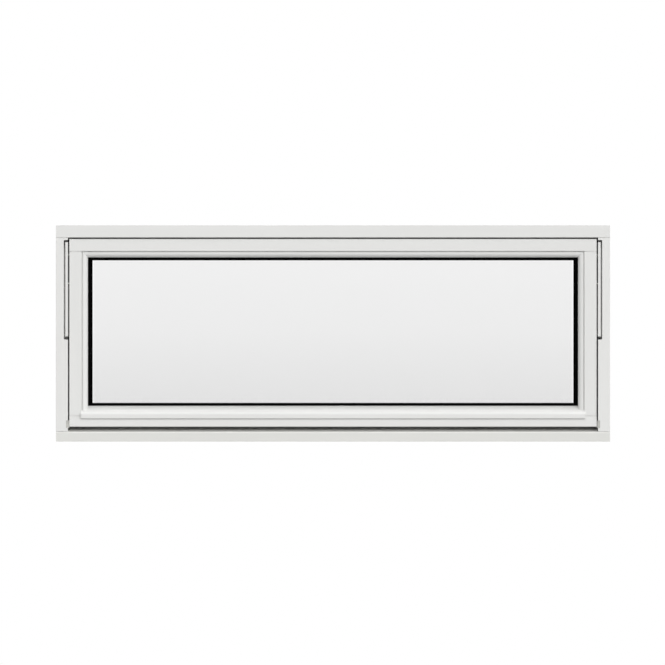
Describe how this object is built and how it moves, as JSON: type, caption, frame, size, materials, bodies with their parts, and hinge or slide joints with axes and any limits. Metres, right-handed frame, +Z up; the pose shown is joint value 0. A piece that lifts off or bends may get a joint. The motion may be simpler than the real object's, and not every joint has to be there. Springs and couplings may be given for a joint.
{
  "type": "top hung awning window",
  "caption": "Wide top hung awning window: painted timber frame and outward opening sash, double glazed, with moulded glazing beads, a drip bead and side hinge rails.",
  "frame": {"origin": "middle of the underside of the sill, half way through the frame's depth", "axes": "+X along the width, +Y from the outside to the inside, +Z up"},
  "size_m": [1.198, 0.115, 0.468],
  "materials": {
    "painted_timber": "satin white paint",
    "glass": "clear float",
    "spacer": "matt black",
    "black_rubber": "matt black",
    "coated_rail": "satin white coat",
    "zinc_steel": "zinc plated",
    "grey_nylon": "matt light grey",
    "packer": "matt grey",
    "handle_coat": "satin white coat"
  },
  "bodies": {
    "root": {"frame_head": "painted_timber", "frame_sill": "painted_timber", "frame_jamb_left": "painted_timber", "frame_jamb_right": "painted_timber", "sash_top_rail": "painted_timber", "sash_bottom_rail": "painted_timber", "sash_stile_left": "painted_timber", "sash_stile_right": "painted_timber", "glazing_bead_top": "painted_timber", "glazing_bead_left": "painted_timber", "glazing_bead_right": "painted_timber", "drip_bead": "painted_timber", "outer_pane": "glass", "inner_pane": "glass", "edge_spacer": "spacer", "edge_sealant": "black_rubber", "outer_gasket": "black_rubber", "inner_gasket": "black_rubber", "weather_seal_top": "black_rubber", "weather_seal_bottom": "black_rubber", "weather_seal_left": "black_rubber", "weather_seal_right": "black_rubber", "hinge_rail_left": "coated_rail", "hinge_rail_right": "coated_rail", "hinge_arm_left": "zinc_steel", "hinge_arm_right": "zinc_steel", "sash_bracket_left": "zinc_steel", "sash_bracket_right": "zinc_steel", "hinge_shoe_left": "grey_nylon", "hinge_shoe_right": "grey_nylon", "guide_block_left": "grey_nylon", "guide_block_right": "grey_nylon", "setting_block_left": "packer", "setting_block_right": "packer", "handle_rose": "handle_coat", "handle_lever": "handle_coat"}
  },
  "joints": []
}
